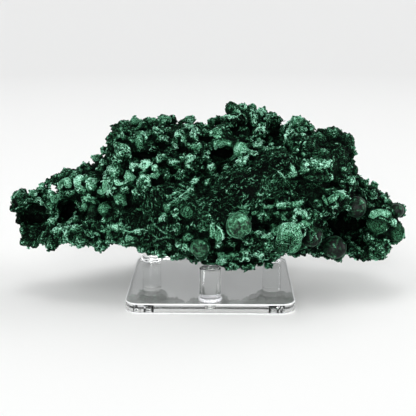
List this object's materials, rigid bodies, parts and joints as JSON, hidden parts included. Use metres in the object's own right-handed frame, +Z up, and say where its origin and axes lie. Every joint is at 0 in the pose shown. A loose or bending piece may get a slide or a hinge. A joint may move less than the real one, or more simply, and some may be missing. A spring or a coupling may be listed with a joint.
{
  "type": "malachite specimen on a stand",
  "caption": "Rough botryoidal malachite with cavernous lobes, resting on a clear acrylic display stand with round pegs.",
  "frame": {"origin": "centre of the base plate's underside", "axes": "+X along the specimen's long side, -Y towards its front, +Z up"},
  "size_m": [0.2463, 0.1128, 0.1155],
  "materials": {
    "malachite": "matt velvety crust with silky highlights",
    "clear_acrylic": "polished clear acrylic"
  },
  "bodies": {
    "root": {"malachite": "malachite", "base_plate": "clear_acrylic", "peg_front": "clear_acrylic", "peg_rear_left": "clear_acrylic", "peg_rear_right": "clear_acrylic"}
  },
  "joints": []
}
